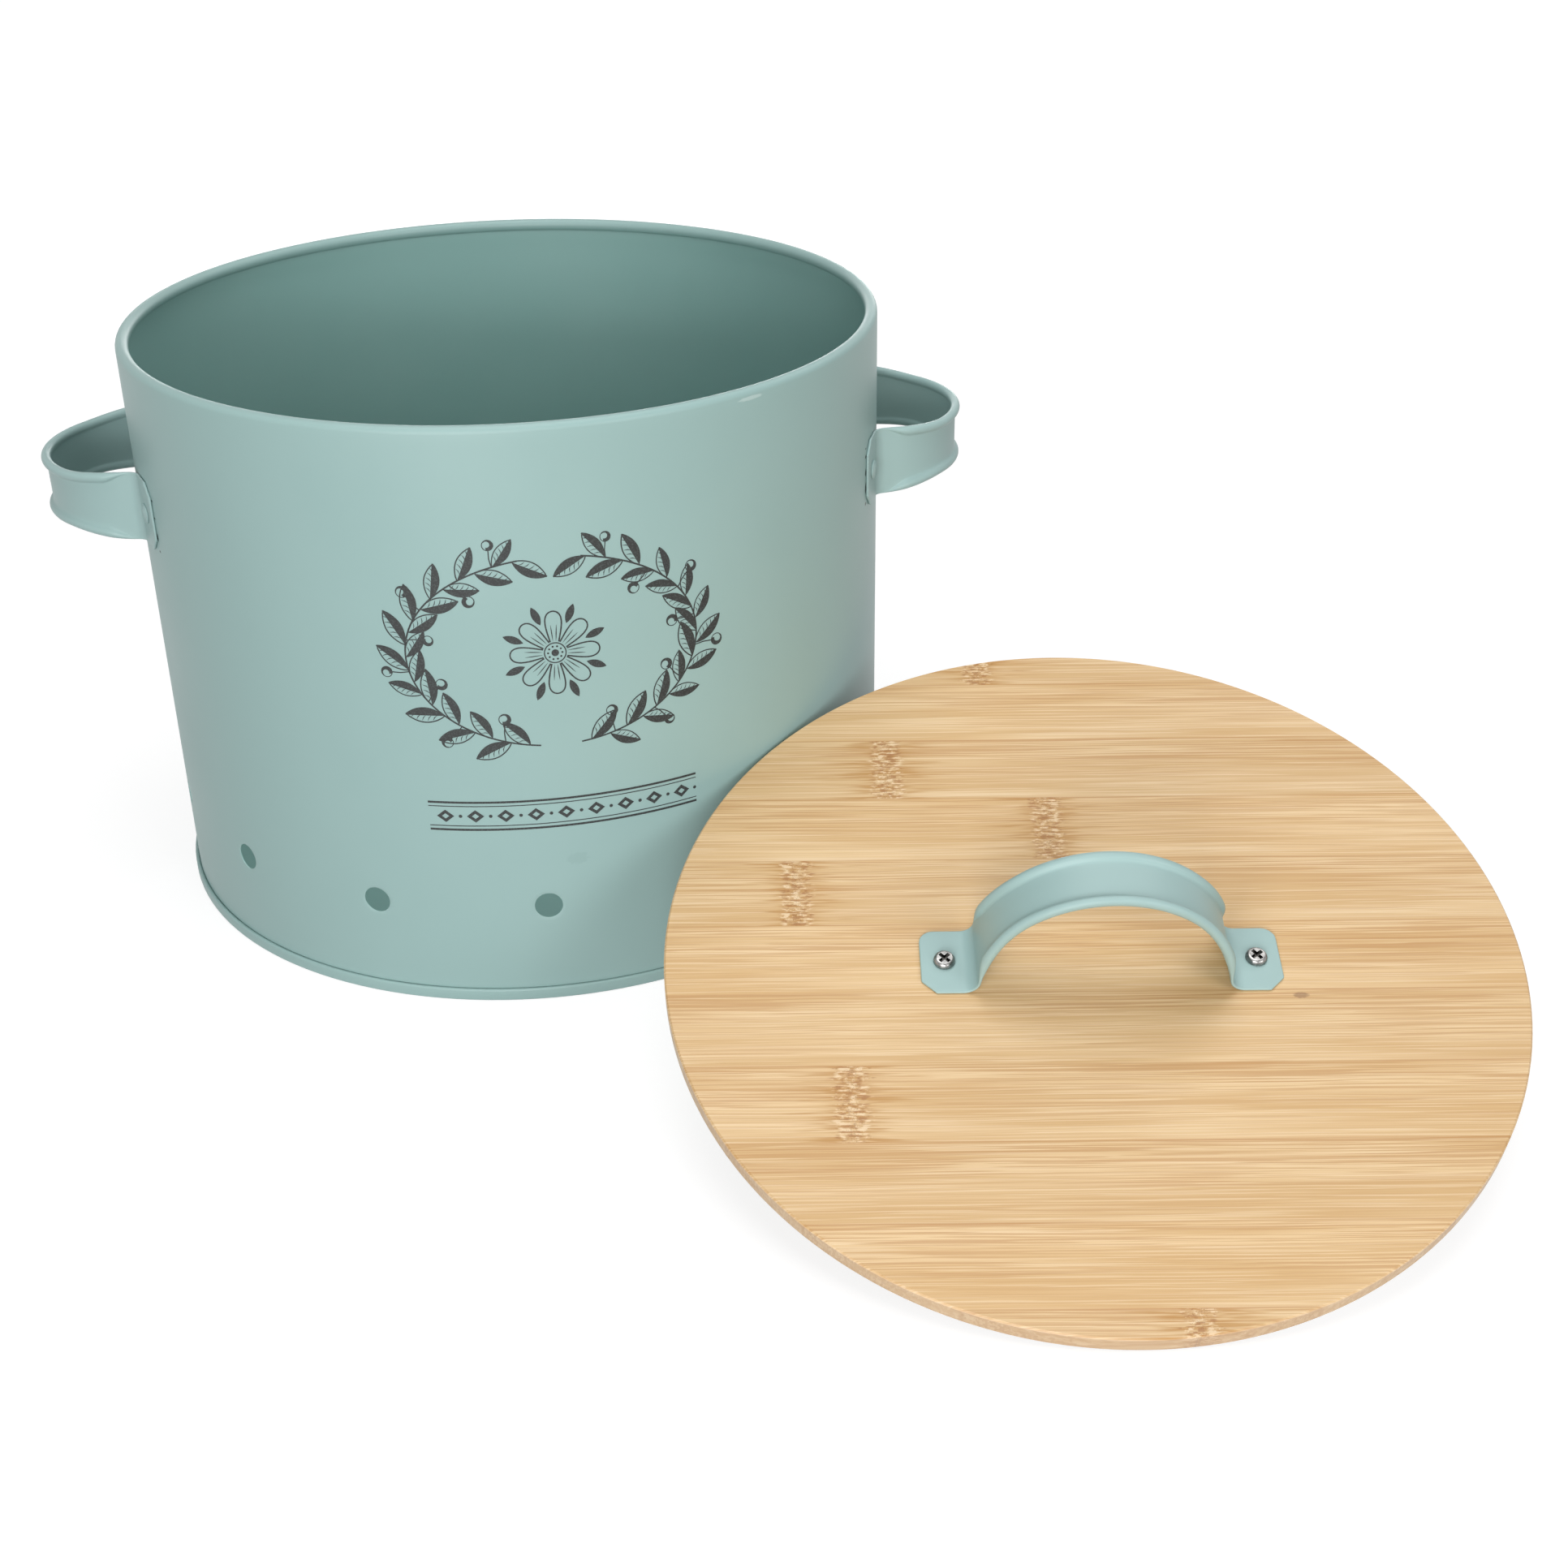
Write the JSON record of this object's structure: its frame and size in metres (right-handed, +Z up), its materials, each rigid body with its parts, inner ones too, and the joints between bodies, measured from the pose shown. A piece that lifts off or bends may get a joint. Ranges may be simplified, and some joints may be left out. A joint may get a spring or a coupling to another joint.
{
  "type": "potato storage bin",
  "caption": "Round sheet-steel storage bin with curled rim, air holes low in the wall, strap handles at the sides and a bamboo lid with its own strap handle, leaning against the wall.",
  "frame": {"origin": "on the floor at the centre of the bin's base, in the plane of the seam ring that it stands on", "axes": "+Z up along the bin's axis, +X through the right handle, -Y out of the front of the wall, where one air hole sits; the lid leans at the front right"},
  "size_m": [0.4221, 0.4222, 0.185],
  "materials": {
    "sage_paint": "satin sage-green enamel over sheet steel",
    "bamboo": "clear-coated edge-glued bamboo, light honey",
    "zinc_plate": "bright zinc-plated screw"
  },
  "bodies": {
    "bin": {"bin_wall": "sage_paint", "bin_base": "sage_paint", "left_handle": "sage_paint", "right_handle": "sage_paint", "rivet_left_front": "sage_paint", "rivet_left_rear": "sage_paint", "rivet_right_front": "sage_paint", "rivet_right_rear": "sage_paint"},
    "lid": {"lid_strip_01": "bamboo", "lid_strip_02": "bamboo", "lid_strip_03": "bamboo", "lid_strip_04": "bamboo", "lid_strip_05": "bamboo", "lid_strip_06": "bamboo", "lid_strip_07": "bamboo", "lid_strip_08": "bamboo", "lid_strip_09": "bamboo", "lid_strip_10": "bamboo", "lid_strip_11": "bamboo", "lid_handle": "sage_paint", "lid_screw_left": "zinc_plate", "lid_screw_right": "zinc_plate"}
  },
  "joints": [
    {"name": "lid_lift", "type": "slide", "parent": "bin", "child": "lid", "axis": [0, 0, 1], "range_m": [0, 0.2]}
  ]
}
